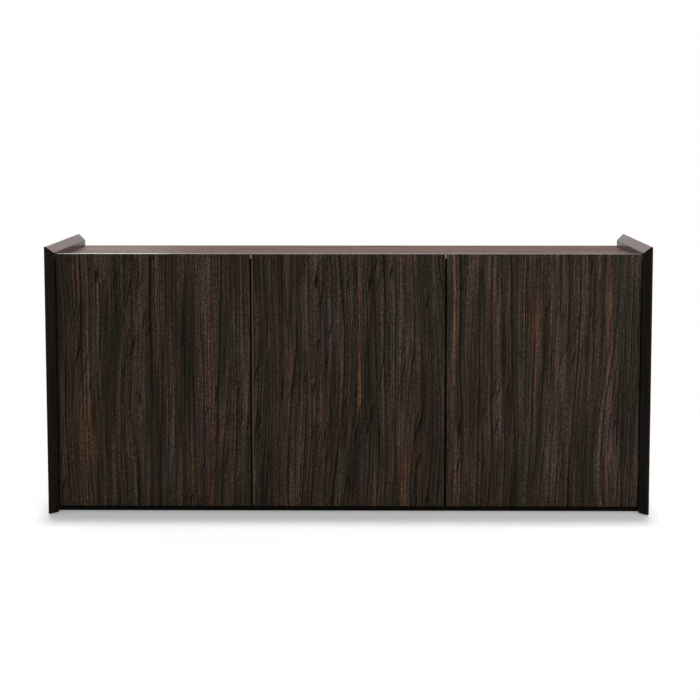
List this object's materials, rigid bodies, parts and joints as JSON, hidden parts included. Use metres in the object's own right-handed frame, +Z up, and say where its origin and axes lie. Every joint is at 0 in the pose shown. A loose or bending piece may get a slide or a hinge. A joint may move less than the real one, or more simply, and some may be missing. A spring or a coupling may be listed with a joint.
{
  "type": "office credenza",
  "caption": "Long low credenza in dark wood with inward-bevelled side panels, a recessed top, handleless hinged doors, shelves inside and a black recessed base.",
  "frame": {"origin": "on the floor under the middle of the cabinet", "axes": "+X along the width to the right seen from the front, -Y out of the doors, +Z up"},
  "size_m": [1.8, 0.46, 0.81],
  "materials": {
    "dark_wood": "satin dark brown veneer",
    "top_wood": "satin dark brown veneer",
    "inner_wood": "satin dark brown veneer",
    "black_laminate": "matte black",
    "nickel": "nickel plated",
    "zinc": "zinc plated",
    "grey_plastic": "matte grey",
    "black_plastic": "matte black"
  },
  "bodies": {
    "cabinet": {"left_side_panel": "dark_wood", "right_side_panel": "dark_wood", "top_panel": "top_wood", "bottom_panel": "inner_wood", "back_panel": "inner_wood", "left_divider": "inner_wood", "right_divider": "inner_wood", "left_shelf": "inner_wood", "middle_shelf": "inner_wood", "right_shelf": "inner_wood", "front_plinth": "black_laminate", "rear_plinth": "black_laminate", "left_front_glide": "black_plastic", "left_rear_glide": "black_plastic", "right_front_glide": "black_plastic", "right_rear_glide": "black_plastic", "middle_foot": "black_plastic", "left_side_front_shelf_pin": "nickel", "left_side_rear_shelf_pin": "nickel", "left_divider_front_shelf_pin": "nickel", "left_divider_rear_shelf_pin": "nickel", "right_divider_front_shelf_pin": "nickel", "right_divider_rear_shelf_pin": "nickel", "right_side_front_shelf_pin": "nickel", "right_side_rear_shelf_pin": "nickel", "left_upper_hinge_arm": "nickel", "left_upper_hinge_plate": "zinc", "left_upper_hinge_pin": "zinc", "left_lower_hinge_arm": "nickel", "left_lower_hinge_plate": "zinc", "left_lower_hinge_pin": "zinc", "middle_upper_hinge_arm": "nickel", "middle_upper_hinge_plate": "zinc", "middle_upper_hinge_pin": "zinc", "middle_lower_hinge_arm": "nickel", "middle_lower_hinge_plate": "zinc", "middle_lower_hinge_pin": "zinc", "right_upper_hinge_arm": "nickel", "right_upper_hinge_plate": "zinc", "right_upper_hinge_pin": "zinc", "right_lower_hinge_arm": "nickel", "right_lower_hinge_plate": "zinc", "right_lower_hinge_pin": "zinc", "left_latch_body": "grey_plastic", "middle_latch_body": "grey_plastic", "right_latch_body": "grey_plastic"},
    "left_door_leaf": {"left_door": "dark_wood", "left_upper_hinge_cup": "nickel", "left_lower_hinge_cup": "nickel"},
    "left_plunger": {"left_latch_plunger": "black_plastic"},
    "middle_door_leaf": {"middle_door": "dark_wood", "middle_upper_hinge_cup": "nickel", "middle_lower_hinge_cup": "nickel"},
    "middle_plunger": {"middle_latch_plunger": "black_plastic"},
    "right_door_leaf": {"right_door": "dark_wood", "right_upper_hinge_cup": "nickel", "right_lower_hinge_cup": "nickel"},
    "right_plunger": {"right_latch_plunger": "black_plastic"}
  },
  "joints": [
    {"name": "left_door_swing", "type": "hinge", "parent": "cabinet", "child": "left_door_leaf", "pos_m": [-0.8635, -0.2035, 0.4], "axis": [0, 0, -1], "range_deg": [0, 95]},
    {"name": "middle_door_swing", "type": "hinge", "parent": "cabinet", "child": "middle_door_leaf", "pos_m": [-0.282, -0.2035, 0.4], "axis": [0, 0, -1], "range_deg": [0, 95]},
    {"name": "right_door_swing", "type": "hinge", "parent": "cabinet", "child": "right_door_leaf", "pos_m": [0.8635, -0.2035, 0.4], "axis": [0, 0, 1], "range_deg": [0, 95]},
    {"name": "left_plunger_push", "type": "slide", "parent": "cabinet", "child": "left_plunger", "axis": [0, 1, 0], "range_m": [0, 0.002], "stiffness_N_per_m": 500},
    {"name": "middle_plunger_push", "type": "slide", "parent": "cabinet", "child": "middle_plunger", "axis": [0, 1, 0], "range_m": [0, 0.002], "stiffness_N_per_m": 500},
    {"name": "right_plunger_push", "type": "slide", "parent": "cabinet", "child": "right_plunger", "axis": [0, 1, 0], "range_m": [0, 0.002], "stiffness_N_per_m": 500}
  ]
}
